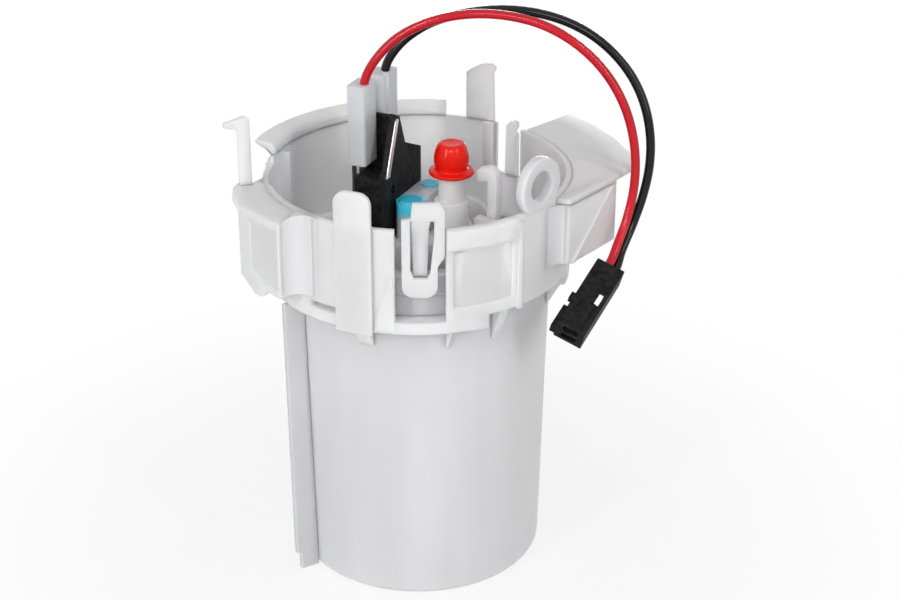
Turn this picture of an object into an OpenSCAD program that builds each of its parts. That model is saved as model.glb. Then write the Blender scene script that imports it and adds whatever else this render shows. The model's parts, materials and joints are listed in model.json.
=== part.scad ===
// In-tank fuel pump module: swirl pot, slotted crown, electric pump and its two-wire lead.
// Millimetres. Origin at the centre of the pot's base, +Z up, the crown's window faces -Y.

/* [Pot] */
// Outer radius of the pot at its base
pot_base_r = 38; // [37:0.5:39]
// Outer radius of the pot where the crown sits
pot_top_r = 39.9; // [39.5:0.1:41]
// Height of the pot's rim
pot_h = 111; // [110.8:0.2:114]
// Wall of the pot
pot_wall = 2; // [1.6:0.1:2.2]
// Thickness of the pot's floor
pot_floor = 2.5; // [2:0.1:3.5]
// Rounding of the pot's lower edge
pot_fillet = 3; // [2:0.5:4]
// Height of the thick lip at the pot's rim
pot_lip_h = 6; // [4:0.5:7]
// How far the lip stands out
pot_lip_out = 1.4; // [0.8:0.1:1.8]
// Thickness of the guide fin
fin_t = 1.8; // [1.2:0.1:3]
// How far the guide fin reaches past the crown's shelf
fin_out = 0.9; // [0.2:0.1:2]

/* [Crown] */
// How far the crown stands out from the pot
crown_step = 6.1; // [5.8:0.1:6.8]
// Wall of the crown
crown_wall = 1.8; // [1.4:0.1:2.4]
// How far the crown's shelf sits below the rim of the pot's catch bar
crown_drop = 17; // [16.5:0.25:19]
// Thickness of the shelf
shelf_t = 3.5; // [2.5:0.25:4.5]
// Height of the crown from the shelf's underside to its rim
crown_h = 32.5; // [31:0.25:34]
// How far the rolled rim stands out on the front panel
rim_out = 1.1; // [0.6:0.1:1.6]
// Depth of the panels recessed into the crown's wall
panel_depth = 0.7; // [0.3:0.1:1]
// How far the tops of the two side chambers sit below the crown's rim
chamber_drop = 2; // [1:0.25:3.5]
// Wall of the two side chambers
chamber_wall = 1.8; // [1.2:0.1:2.4]
// How far the right chamber stands out from the crown
chamber_out = 13.2; // [11:0.2:15]
// How far the right chamber's lid stands out from the chamber
lid_out = 6.8; // [4:0.2:8]
// Thickness of the right chamber's lid
lid_t = 2; // [1.5:0.1:3]
// Outer radius of the lifting eye
eye_r = 8.5; // [7.5:0.25:9]
// Radius of the hole in the lifting eye
eye_hole_r = 4.5; // [4:0.25:5]
// Thickness of the lifting eye
eye_t = 3; // [2:0.25:4]
// Height of the tall rear tab above the rim
tall_tab_h = 18.9; // [12:0.2:22]
// Height of the hook post above the left chamber
hook_h = 20.8; // [15:0.2:24]

/* [Pump] */
// Radius of the pump's steel shell
shell_r = 19; // [18.5:0.1:19.4]
// Wall of the shell
shell_t = 0.95; // [0.8:0.05:1.1]
// Height of the shell's lower edge
shell_z0 = 24; // [23:0.5:25]
// Height of the shell's upper edge
shell_z1 = 99; // [98:0.25:100]
// Radius of the armature's shaft
shaft_r = 1.5; // [1.3:0.05:1.8]
// Radial running clearance of the shaft
running_gap = 0.03; // [0.02:0.01:0.06]
// Radial thickness of the field magnets
magnet_t = 3.25; // [2.8:0.05:3.4]
// Air gap between the magnets and the armature's core
air_gap = 0.9; // [0.6:0.05:1.4]
// Length of the armature's core
core_l = 30; // [24:1:34]
// Number of slots in the armature's core
core_slots = 8; // [6:1:10]
// Radius of the impeller
impeller_r = 15.2; // [14:0.1:15.4]
// Number of vane pockets on each side of the impeller
vane_count = 24; // [16:2:30]
// Radius of the commutator
commutator_r = 9; // [8:0.1:9.5]
// Distance from the pump's axis to each brush
brush_at = 6.3; // [6.3:0.05:6.45]
// How far each brush can be pushed back
brush_travel = 2; // [1:0.5:3]
// Distance from the pump's axis to the outlet
outlet_at = 10.7; // [10:0.1:11.2]
// Radius of the outlet spigot where the hose sits
outlet_r = 4; // [3.6:0.1:4.4]
// Length of the hose seat on the spigot
outlet_land = 8.4; // [7:0.2:9]
// Lift of the outlet check valve
check_lift = 2; // [1:0.25:2.5]
// Lift of the relief valve
relief_lift = 1.2; // [0.6:0.1:1.4]
// Lift of the foot valve
foot_lift = 1.5; // [0.8:0.1:2]
// Wall of the carrier's sleeve
sleeve_wall = 1.6; // [1.2:0.1:2]
// Thickness of the rubber sleeve round the shell
rubber_t = 1.36; // [1.2:0.02:1.6]

/* [Lead] */
// Diameter of each wire
wire_d = 2.7; // [2.2:0.1:3]
// Width of each pole of the pump's plug
pole_w = 5.8; // [5.4:0.1:6.4]
// Depth of each pole of the pump's plug
pole_d = 8; // [7.4:0.1:8.4]
// Height of the pump's plug
plug_h = 25; // [22:0.5:27]
// Distance between the plug's two poles
pole_pitch = 12.5; // [12:0.1:13]
// Length of the free connector
socket_l = 27; // [24:0.5:30]
// Width of the free connector
socket_w = 8.8; // [8:0.1:10]
// Thickness of the free connector
socket_t = 7.2; // [6.8:0.1:9]
// Radius of the outlet cap's flange
cap_flange_r = 6.9; // [6.2:0.1:7.6]
// Height of the outlet cap
cap_h = 9.8; // [9:0.2:11]

/* [Hidden] */
$fn = 96;

// Clearance between faces of pieces that sit together
seam = 0.02;
// Clearance that lets a valve or a brush slide
slide_gap = 0.05;

// Where the pump stands in the pot, and how it is turned
pump_x = 0.5;
pump_y = 7.5;
head_turn = -25;

natural = [0.93, 0.94, 0.95];
pale_nylon = [0.86, 0.88, 0.92];
black_nylon = [0.12, 0.12, 0.13];
steel = [0.72, 0.73, 0.75];
tin = [0.78, 0.78, 0.76];
copper = [0.75, 0.42, 0.22];
red = [0.9, 0.1, 0.08];
cyan_tint = [0.3, 0.75, 0.9];
rubber = [0.16, 0.16, 0.16];

// Crown's radius and heights, from the pot's
crown_r = pot_top_r + crown_step;
crown_bottom = pot_h - crown_drop;
crown_top = crown_bottom + crown_h;
chamber_top = crown_top - chamber_drop;
chamber_r = crown_r + chamber_out;
lid_r = chamber_r + lid_out;

// Pot
pot_draft_top = crown_bottom - 8;
pot_lip_z = pot_h - pot_lip_h;
pot_lip_r = pot_top_r + pot_lip_out;
pot_inner_base_r = pot_base_r - pot_wall;
pot_inner_top_r = pot_top_r - pot_wall;
pot_inner_fillet = 1.5;
lip_edge = 0.6;
valve_x = -15;
valve_y = -15;
valve_port_r = 1.3;
valve_port_at = 3.6;
valve_ports = 6;

// Crown
crown_inner_r = crown_r - crown_wall;
shelf_top = crown_bottom + shelf_t;
window_sill = 0.4;
window_from = 262.6;
window_to = 281;
post_gap_from = 44.2;
post_gap_to = 57;
post_foot = crown_bottom + 16;
panel_from = 283.5;
panel_to = 307;
rim_from = 281;
rim_to = 309;
rim_h = 6.5;
low_from = 169;
low_to = 196;
fin_at = 213;
buttress_at = 258.6;
rib_at = 159.5;
nub_at = 165.5;
slot_from = 228.5;
slot_to = 240;
gusset_h = 7;
// Azimuth and thickness of each rib under the shelf
gussets = [[20, 1.6], [62, 1.6], [104, 1.6], [146, 1.6], [183, 1.6], [249, 4.6], [283, 0.9], [305, 3], [346, 1.6]];
// The shelf is higher at the right
high_from = 297;
high_to = 344;
high_shelf = 4.5;
// Where the pot's rim stands above the shelf: the catch bar and a post under each spoke of the carrier
rim_gaps = [[290, 328], [341, 455], [108, 184], [196, 252]];

// Left chamber, outline in plan, which grows with the crown
plan = crown_r / 46;
left_plan = plan * [[-40, -2], [-45.95, -2.6], [-47.5, -5], [-51.2, -8.5], [-52.2, -14], [-51.2, -23.5], [-38.9, -37], [-33, -30]];
left_top_plan = plan * [
    [-40, -2], [-45.95, -2.6], [-48.4, -6.2], [-49.6, -5], [-52.9, -6.6], [-53.9, -9.5], [-53.7, -15.4],
    [-51.2, -23.5], [-38.9, -37], [-33, -30]
];
left_plate = 1.6;
slope_from = 193;
slope_to = 232;
slope_w = 7;
left_floor_z = crown_bottom + 4.8;
left_turn = -47.7;

// Right chamber, outline in plan
right_floor_z = crown_bottom + 12;
front_corner = plan * [58.7, -5.9];
inner_corner = plan * [44.2, -23.7];
root_from = 328;
rear_side = 44;

// Lifting eye
eye_from_axis = crown_r - 0.1;
eye_turn = -41;
eye_z = crown_top + eye_r - 1.3;

// Tabs and posts
tab_at = 248;
tab_half = 5.6;
tab_top = crown_top + 11;
tab_out = 1.8;
tall_tab_at = 64.3;
rim_tab_h = 5;
lip_from = 105;
lip_to = 167;
hook_x = plan * -50.45;
hook_y = plan * -7.3;
hook_turn = 14;
hook_w = 3.7;
hook_d = 2.2;
hook_reach = 4;

// Pump
shell_in_r = shell_r - shell_t;
crimp_r = shell_r - 2.5;
crimp_t = 0.8;
stack_r = shell_in_r - seam;
inlet_z0 = shell_z0 + crimp_t + seam;
inlet_t = 4.2;
chamber_z0 = inlet_z0 + inlet_t + seam;
chamber_h = 7.4;
impeller_t = 3.8;
impeller_gap = 0.12;
impeller_z0 = chamber_z0 + impeller_gap;
chamber_web_z = impeller_z0 + impeller_t + impeller_gap;
bearing_r = 3.7;
lower_bearing_h = 3;
core_z0 = 46;
core_z1 = core_z0 + core_l;
winding_h = 5.8;
commutator_z0 = core_z1 + winding_h + 2.2;
commutator_t = 4;
commutator_top = commutator_z0 + commutator_t;
cover_z0 = commutator_top + 3;
cover_shoulder = shell_z1 - crimp_t - seam;
cover_top = shell_z1 + 5;
upper_bearing_h = 4;
brush_w = 4;
brush_d = 5;
brush_h = 8;
brush_z0 = commutator_top + 0.05;
pocket_top = cover_top - 1.5;
shaft_z0 = inlet_z0 + 2;
shaft_z1 = cover_z0 + upper_bearing_h - 0.5;
magnet_in_r = shell_in_r - magnet_t;
core_r = magnet_in_r - air_gap;
magnet_z0 = 40;
magnet_z1 = 81;
magnet_half = 68;

// Outlet
boss_r = 5.2;
boss_top = cover_top + 11.2;
land_top = boss_top + outlet_land;
tip_r = outlet_r - 0.4;
outlet_top = land_top + 7.6;
outlet_bore_r = 2.6;
check_seat_z = boss_top + 1.5;
check_h = 4;
check_r = outlet_bore_r - slide_gap;
stop_z = check_seat_z + check_h + 5;
stop_h = 1.5;

// Valve bridge
bridge_half = 3.9;
bridge_rear = 10.6;
bridge_z0 = cover_top + seam;
bridge_top = cover_top + 11.6;
plug_proud = 0.4;
bleed_at = -7;
bleed_top_r = 3.3;
bleed_low_r = 2.9;
bleed_h = 6.5;
bleed_end_r = bridge_half + 0.15;
relief_at = 7;
relief_bore_r = 2.6;
relief_floor = bridge_z0 + 2.4;
relief_h = 2.4;
relief_plug_z = bridge_top - 3;

// Connector housing on the pump
house_right = -bridge_half - 0.2;
house_left = -18;
house_front = -17.4;
house_rear = 9.6;
house_z0 = cover_top + seam;
house_foot_left = -12;
house_foot_front = -14;
house_step = cover_top + 12;
deck_z = house_step + 8.5;
wall_plate = 1.6;
rib_outline = [
    [house_front, deck_z - 1], [-13.5, deck_z + 2.9], [-8.1, deck_z + 18.4], [-4.6, deck_z + 16.6],
    [-1.1, deck_z + 7.1], [house_rear, deck_z + 2.1], [house_rear, house_step - 1], [house_front, house_step - 1]
];
pole_a = -13.8;
pole_b = -10.5;
plug_z0 = deck_z + 2.5;
plug_top = plug_z0 + plug_h;
plug_guard = 0.2;
blade_w = 5.8;
blade_t = 0.8;

// Carrier
sleeve_in_r = shell_r + rubber_t + 2 * seam;
sleeve_r = sleeve_in_r + sleeve_wall;
sleeve_z0 = 62;
sleeve_z1 = 108;
spoke_t = 3;
spoke_z0 = 96;
spoke_at = [200, 325, 105];
hook_stem_w = 4;
hook_stem_t = 4.2;
hook_stem_top = 128;

// Front latch
latch_x = 1.5;
latch_half = 5.3;
latch_slot = 2.9;
latch_neck = 4.8;
latch_side = 6.8;
latch_y0 = -(crown_r - 0.2);
latch_t = 1.8;
latch_low = pot_h - 5;
latch_leg_top = pot_h + 18.5;
latch_top = pot_h + 23.6;
tongue_y = latch_y0 + latch_t + 0.8;
tongue_t = 1.4;
tongue_bend = 9;
arm_z0 = pot_h + 0.6;
arm_h = 3;
arm_half = 2.1;

// Cap
cap_z0 = land_top + 0.2;
cap_flange_t = 1.2;
cap_r = 5.3;
cap_top_r = 4.2;
cap_wall = 1.2;

// Foot valve
valve_disc_r = 6.2;
valve_disc_t = 1.2;
valve_stem_r = 1.4;
valve_stem_h = 7;
cage_z0 = pot_floor + seam;
cage_top = pot_floor + valve_disc_t + foot_lift + 2.6;
cage_t = 1.6;
cage_r = 8.4;

// Strainer
spigot_r = 5;
spigot_z0 = 16;
sock_r = 14;
sock_z0 = 5.5;
sock_z1 = 13;

// Free connector: centre of its cable end, and its turn
socket_at = [56.4, -19.8, 101.8];
socket_turn = [-68, 20, -22];
cavity_pitch = 3.2;
cavity = [4.6, 2];
cavity_depth = 12;
wire_spread = [1.1, 0.9];

// Routes of the two wires, from the pump's plug to the free connector
red_route = [
    [-15.4, 3.1, plug_top + seam], [-12.4, 3, 158.8], [-6.2, 2.7, 165.7], [1.2, 1.9, 170.3], [9.5, 0.9, 173.2],
    [18.1, -0.1, 174.4], [26.9, -1.1, 174], [35.4, -1.9, 172], [43.3, -2.8, 168.2], [50.2, -3.7, 162.9],
    [55.9, -4.6, 156.3], [60.2, -5.4, 148.6], [62.9, -6.2, 140.3], [64.1, -6.9, 131.6], [63.8, -8.1, 123],
    [62, -10.1, 114.6], [59.1, -13.9, 107.7]
];
black_route = [
    [-9.6, 14.1, plug_top + plug_guard + seam], [-5.6, 14, 159.8], [1.5, 13.4, 165.8], [9.4, 11.9, 169.6],
    [17.7, 10, 171.9], [26.3, 8, 173], [34.9, 6.1, 172.6], [43.4, 4.3, 170.6], [51.2, 2.4, 166.9],
    [57.9, 0.5, 161.5], [63.2, -1.4, 154.7], [66.7, -3.2, 146.8], [68.4, -4.6, 138.1], [68.4, -5.5, 129.2],
    [66.8, -6.6, 120.5], [64, -8.4, 112.1], [60.6, -12.5, 105.1]
];

function arc(c, r, a0, a1, n) = [for (i = [0:n]) c + r * [cos(a0 + (a1 - a0) * i / n), sin(a0 + (a1 - a0) * i / n)]];

// A ring sector between two radii, two heights and two azimuths
module sector(r0, r1, z0, z1, a0, a1) {
    rotate([0, 0, a0])
        rotate_extrude(angle = a1 - a0)
            translate([r0, z0])
                square([r1 - r0, z1 - z0]);
}

// A plate bent round the axis, cut to an outline of tangential place and height
module bent_plate(at, r0, r1, outline) {
    reach = 14;
    intersection() {
        sector(r0, r1, 0, 200, at - 20, at + 20);
        rotate([0, 0, at])
            translate([r0 - reach / 2, 0, 0])
                rotate([90, 0, 90])
                    linear_extrude(reach)
                        polygon(outline);
    }
}

// A flat plate that stands radially, cut to an outline of radius and height
module radial_plate(at, t, outline) {
    rotate([0, 0, at])
        translate([0, t / 2, 0])
            rotate([90, 0, 0])
                linear_extrude(t)
                    polygon(outline);
}

// Puts its children in the pump's own frame
module at_pump() {
    translate([pump_x, pump_y, 0])
        rotate([0, 0, head_turn])
            children();
}

module tube(r0, r1, z0, z1) {
    rotate_extrude()
        translate([r0, z0])
            square([r1 - r0, z1 - z0]);
}

module disc(r, z0, z1) {
    translate([0, 0, z0])
        cylinder(r = r, h = z1 - z0);
}

module block(x0, x1, y0, y1, z0, z1) {
    translate([x0, y0, z0])
        cube([x1 - x0, y1 - y0, z1 - z0]);
}

// The pot's outer form as a solid, grown by a clearance
module pot_envelope(grow) {
    rotate_extrude()
        polygon([
            [0, -1], [pot_base_r + grow, -1], [pot_base_r + grow, pot_fillet],
            [pot_top_r + grow, pot_draft_top], [pot_top_r + grow, pot_lip_z - pot_lip_out],
            [0, pot_lip_z - pot_lip_out]
        ]);
}

module swirl_pot() {
    color(natural)
        difference() {
            rotate_extrude()
                polygon(concat(
                    [[0, 0]],
                    arc([pot_base_r - pot_fillet, pot_fillet], pot_fillet, -90, 0, 6),
                    [
                        [pot_top_r, pot_draft_top], [pot_top_r, pot_lip_z - pot_lip_out],
                        [pot_lip_r, pot_lip_z], [pot_lip_r, pot_h - lip_edge],
                        [pot_lip_r - lip_edge, pot_h], [pot_inner_top_r, pot_h],
                        [pot_inner_top_r, pot_draft_top]
                    ],
                    arc([pot_inner_base_r - pot_inner_fillet, pot_floor + pot_inner_fillet],
                        pot_inner_fillet, 0, -90, 4),
                    [[0, pot_floor]]
                ));
            for (i = [1:valve_ports])
                translate([valve_x, valve_y, -1])
                    rotate([0, 0, i * 360 / valve_ports])
                        translate([valve_port_at, 0, 0])
                            cylinder(r = valve_port_r, h = pot_floor + 2, $fn = 24);
            for (gap = rim_gaps)
                sector(pot_inner_top_r - 1, pot_lip_r + 1, shelf_top, pot_h + 1, gap[0], gap[1]);
        }
}

module guide_fin() {
    color(natural)
        difference() {
            radial_plate(fin_at, fin_t, [
                [pot_base_r - 4, 0.8], [crown_r - 1.8, 0.8], [crown_r - 1.8, 7], [crown_r - 0.3, 7],
                [crown_r + fin_out, crown_bottom - seam], [pot_top_r - 2, crown_bottom - seam]
            ]);
            pot_envelope(seam);
        }
}

module upper_collar() {
    color(natural)
        difference() {
            union() {
                difference() {
                    rotate_extrude()
                        polygon([
                            [pot_top_r - 2, crown_bottom], [crown_r - 0.6, crown_bottom],
                            [crown_r, crown_bottom + 0.6], [crown_r, crown_top - 0.5],
                            [crown_r - 0.5, crown_top], [crown_inner_r, crown_top],
                            [crown_inner_r, shelf_top], [pot_top_r - 2, shelf_top]
                        ]);
                    sector(pot_top_r - 3, crown_r + 1, crown_bottom - 1, crown_bottom + high_shelf, high_from, high_to);
                }
                sector(pot_top_r - 2, crown_r - 1, crown_bottom + high_shelf, shelf_top + high_shelf, high_from - 1, high_to + 1);
                rotate([0, 0, rim_from - 1])
                    rotate_extrude(angle = rim_to - rim_from + 1)
                        polygon([
                            [crown_r - 1, crown_top - rim_h - 1],
                            [crown_r + rim_out, crown_top - rim_h + 1], [crown_r + rim_out, crown_top - 0.7],
                            [crown_r + rim_out - 0.7, crown_top], [crown_r - 1, crown_top]
                        ]);
                sector(crown_r - 0.8, crown_r + rim_out - 0.1, shelf_top + 0.5, crown_top - 1.2, rim_to - 0.3, rim_to + 1.8);
                // Inner rib and outer nub where the wall drops towards the left chamber
                radial_plate(rib_at, 3, [
                    [crown_inner_r - 3.2, crown_bottom + 14], [crown_r - 0.9, crown_bottom + 14],
                    [crown_r - 0.9, crown_top - 0.4], [crown_inner_r - 3.2, crown_top - 0.4]
                ]);
                radial_plate(nub_at, 3, [
                    [crown_r - 0.9, crown_top - 7.5], [crown_r + 1.3, crown_top - 7.5],
                    [crown_r + 1.3, crown_top - 2.6], [crown_r - 0.9, crown_top - 2.6]
                ]);
                // Buttress beside the window
                bent_plate(buttress_at, crown_r - 0.8, crown_r + 0.6, [
                    [-3, crown_bottom + 1], [3, crown_bottom + 1.4], [3, crown_bottom + 15], [2.2, crown_bottom + 18]
                ]);
                for (g = gussets)
                    let (meet = crown_bottom + 0.5 + (g[0] > high_from && g[0] < high_to ? high_shelf : 0))
                        radial_plate(g[0], g[1], [
                            [pot_top_r - 2, crown_bottom - gusset_h], [pot_top_r + 0.5, crown_bottom - gusset_h],
                            [crown_r - 1.2, meet], [pot_top_r - 2, meet]
                        ]);
            }
            pot_envelope(seam);
            sector(crown_inner_r - 1, crown_r + 9, shelf_top + window_sill, crown_top + 1, window_from, window_to);
            sector(crown_inner_r - 1, crown_r + 9, post_foot, crown_top + 1, post_gap_from, post_gap_to);
            sector(crown_inner_r - 1, crown_r + 9, chamber_top, crown_top + 1, low_from, low_to);
            sector(crown_r - panel_depth, crown_r + 0.5, shelf_top + high_shelf, crown_top - rim_h - 0.5, panel_from, panel_to);
            // Low slot in the wall just above the shelf
            sector(crown_inner_r - 1, crown_r + 1, shelf_top + window_sill, shelf_top + 2.6, slot_from, slot_to);
        }
}

module front_left_tab() {
    round_r = 3.6;
    color(natural)
        bent_plate(tab_at, crown_r + seam, crown_r + tab_out, concat(
            [[-tab_half, crown_bottom], [tab_half, crown_bottom]],
            arc([tab_half - round_r, tab_top - round_r], round_r, 0, 90, 6),
            arc([-tab_half + round_r + 0.6, tab_top - round_r - 0.6], round_r + 0.6, 90, 180, 6)
        ));
}

module left_chamber() {
    color(natural)
        difference() {
            union() {
                translate([0, 0, left_floor_z])
                    linear_extrude(chamber_top - left_floor_z)
                        polygon(left_plan);
                translate([0, 0, chamber_top - left_plate])
                    linear_extrude(left_plate)
                        polygon(left_top_plan);
                // Slope from the crown's rim out to the plate's edge
                intersection() {
                    translate([0, 0, chamber_top - 1])
                        linear_extrude(chamber_drop + 1)
                            polygon(left_plan);
                    rotate([0, 0, slope_from])
                        rotate_extrude(angle = slope_to - slope_from)
                            polygon([
                                [crown_r - 1, chamber_top - 1], [crown_r + slope_w, chamber_top - 1],
                                [crown_r + slope_w, chamber_top], [crown_r, crown_top - 0.15],
                                [crown_r - 1, crown_top - 0.15]
                            ]);
                }
            }
            disc(crown_r + seam, crown_bottom - 4, crown_top + 4);
            translate([0, 0, left_floor_z - 1])
                linear_extrude(chamber_top - left_floor_z + 1 - chamber_wall)
                    offset(delta = -chamber_wall)
                        polygon(concat(left_plan, [[-20, -10]]));
            // Lower edge of the front panel, stepped and slanted
            translate([left_plan[5][0], left_plan[5][1], 0])
                rotate([0, 0, left_turn])
                    translate([0, 15, 0])
                        rotate([90, 0, 0])
                            linear_extrude(20)
                                polygon([
                                    [-12, left_floor_z - 2], [9.2, left_floor_z - 2], [9.2, left_floor_z],
                                    [12.4, left_floor_z + 2.7], [19, left_floor_z + 2.4], [19, left_floor_z - 3],
                                    [-12, left_floor_z - 3]
                                ]);
            translate([left_plan[5][0], left_plan[5][1], 0])
                rotate([0, 0, left_turn])
                    translate([0, 15, 0])
                        rotate([90, 0, 0])
                            linear_extrude(30)
                                polygon([
                                    [-12, left_floor_z - 2], [6.6, left_floor_z - 2], [6.6, left_floor_z],
                                    [0.5, left_floor_z + 4], [-12, left_floor_z + 6]
                                ]);
            // Shallow recess in the front panel
            translate([left_plan[5][0], left_plan[5][1], 0])
                rotate([0, 0, left_turn])
                    translate([0, 0.5, 0])
                        rotate([90, 0, 0])
                            linear_extrude(1.1)
                                polygon([
                                    [5.1, chamber_top - 2.5], [16.6, chamber_top - 2.5],
                                    [16.6, left_floor_z + 4.6], [11.4, left_floor_z + 4.6], [5.1, left_floor_z + 7.2]
                                ]);
        }
}

module left_hook_post() {
    top = chamber_top + hook_h;
    color(natural)
        translate([hook_x, hook_y, 0])
            rotate([0, 0, hook_turn])
                translate([0, hook_d / 2, 0])
                    rotate([90, 0, 0])
                        linear_extrude(hook_d)
                            polygon([
                        [-hook_w / 2, chamber_top + seam], [hook_w / 2, chamber_top + seam],
                        [hook_w / 2, top], [0, top + 0.4], [-hook_w / 2 - hook_reach, top - 1.4],
                        [-hook_w / 2 - hook_reach, top - 2.4], [-hook_w / 2, top - 3.4]
                    ]);
}

// Plan of the right chamber, solid, out to a radius
module right_plan(r, front_in) {
    intersection() {
        circle(r = r, $fn = 180);
        polygon([
            [10, -15], inner_corner + front_in * [-0.6, 0.8], front_corner + front_in * [-0.6, 0.8],
            front_corner + [5, 6.5] + front_in * [-0.8, 0.2], [90, 20], [90, 90 * tan(rear_side)],
            [10, 10 * tan(rear_side)]
        ]);
    }
}

module right_chamber() {
    rib_out = 0.7;
    color(natural)
        difference() {
            union() {
                translate([0, 0, right_floor_z])
                    linear_extrude(chamber_top - right_floor_z)
                        right_plan(chamber_r, 0);
                // Diagonal stiffening rib on the flat front face
                translate([inner_corner[0], inner_corner[1], 0])
                    rotate([0, 0, atan2(front_corner[1] - inner_corner[1], front_corner[0] - inner_corner[0])])
                        rotate([90, 0, 0])
                            linear_extrude(rib_out)
                                polygon([
                                    [plan * 1, right_floor_z], [plan * 3, right_floor_z],
                                    [plan * 22, chamber_top - 0.5], [plan * 20, chamber_top - 0.5]
                                ]);
            }
            disc(crown_r + seam, crown_bottom - 4, crown_top + 4);
            translate([0, 0, right_floor_z - 1])
                linear_extrude(chamber_top - right_floor_z + 2)
                    offset(delta = -chamber_wall)
                        union() {
                            right_plan(chamber_r, 0);
                            circle(r = crown_r + 3);
                        }
        }
}

module right_chamber_lid() {
    color(natural)
        difference() {
            translate([0, 0, chamber_top + seam])
                linear_extrude(lid_t)
                    right_plan(lid_r, 0);
            disc(crown_r + seam, crown_bottom - 4, crown_top + 4);
        }
}

module lifting_eye() {
    color(natural)
        rotate([0, 0, eye_turn])
            difference() {
                translate([eye_from_axis - eye_t / 2, 0, eye_z])
                    rotate([0, 90, 0])
                        cylinder(r = eye_r, h = eye_t);
                translate([eye_from_axis - eye_t, 0, eye_z])
                    rotate([0, 90, 0])
                        cylinder(r = eye_hole_r, h = 2 * eye_t);
                translate([eye_from_axis - 2 * eye_r, -eye_r - 1, crown_top + seam - 20])
                    cube([4 * eye_r, 2 * eye_r + 2, 20]);
            }
}

module rear_tall_tab() {
    top = crown_top + tall_tab_h;
    color(natural)
        bent_plate(tall_tab_at, crown_inner_r, crown_r, [
            [-4.7, crown_top + seam], [4.7, crown_top + seam], [4.7, top - 3.6], [3.4, top - 2.4],
            [0, top - 0.4], [-3.6, top], [-4.9, top - 0.8], [-4.9, top - 2], [-4.2, top - 3]
        ]);
}

module rear_slide_rail() {
    color(natural)
        sector(crown_inner_r - 2, crown_inner_r - seam, crown_bottom + 14, crown_top + 0.4, post_gap_to, post_gap_to + 4.5);
}

module rear_snap_post() {
    top = crown_top + 2;
    color(natural)
        bent_plate(49.5, crown_inner_r, crown_r, [
            [-2.3, post_foot + seam], [2.3, post_foot + seam], [1.9, top - 2], [0, top],
            [-2, top], [-2.3, top - 1.5], [-1.3, top - 3.4], [-2.3, top - 4.4]
        ]);
}

module rear_rim_tab() {
    color(natural)
        sector(crown_inner_r, crown_r - 0.5, crown_top + seam, crown_top + rim_tab_h, 79, 100.4);
}

// Section of the flared lip at an azimuth, reaching further out towards its left end
function lip_section(at) =
    let (out = 1.7 + 2.8 * (at - lip_from) / (lip_to - lip_from), z = crown_top)
    [for (p = [
        [crown_inner_r, z + seam], [crown_r - 0.3, z + seam], [crown_r + 0.25 * out, z + 2.4],
        [crown_r + out, z + 3.6], [crown_r + out - 0.2, z + 4.7], [crown_r + 0.2 * out, z + 4.1],
        [crown_r - 1.1, z + 3.5], [crown_inner_r, z + 2.4]
    ]) [p[0] * cos(at), p[0] * sin(at), p[1]]];

module rear_flared_lip() {
    steps = 15;
    color(natural)
        skin([for (i = [0:steps]) lip_section(lip_to - (lip_to - lip_from) * i / steps)]);
}

module pump_carrier() {
    color(natural)
        difference() {
            union() {
                at_pump()
                    disc(sleeve_r, sleeve_z0, sleeve_z1);
                intersection() {
                    union()
                        for (at = spoke_at)
                            translate([pump_x, pump_y, 0])
                                rotate([0, 0, at])
                                    block(sleeve_r - 1, 60, -spoke_t / 2, spoke_t / 2, spoke_z0, pot_h);
                    disc(pot_inner_top_r - seam, spoke_z0, pot_h);
                }
                // Lugs that rest on the pot's rim
                intersection() {
                    union()
                        for (at = spoke_at)
                            translate([pump_x, pump_y, 0])
                                rotate([0, 0, at])
                                    block(sleeve_r - 1, 60, -spoke_t / 2, spoke_t / 2, pot_h + seam, pot_h + 2);
                    disc(pot_lip_r - 0.4, pot_h - 1, pot_h + 3);
                }
                intersection() {
                    union()
                        for (at = spoke_at)
                            translate([pump_x, pump_y, 0])
                                rotate([0, 0, at])
                                    block(sleeve_r - 1, 60, -spoke_t / 2, spoke_t / 2, pot_h - 2, pot_h + 1);
                    disc(pot_inner_top_r - seam, spoke_z0, pot_h + 1);
                }
            }
            at_pump()
                disc(sleeve_in_r, sleeve_z0 - 1, sleeve_z1 + 20);
        }
}

// Profile of the tongue, in from the hood's front face and down to the arm, as [y, z] points
function tongue_line(shift) = [for (i = [0:8])
    let (t = i / 8)
    [latch_y0 + shift + (tongue_y - latch_y0) * (1 - cos(180 * t)) / 2, latch_leg_top + 1 - tongue_bend * t]];

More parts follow.
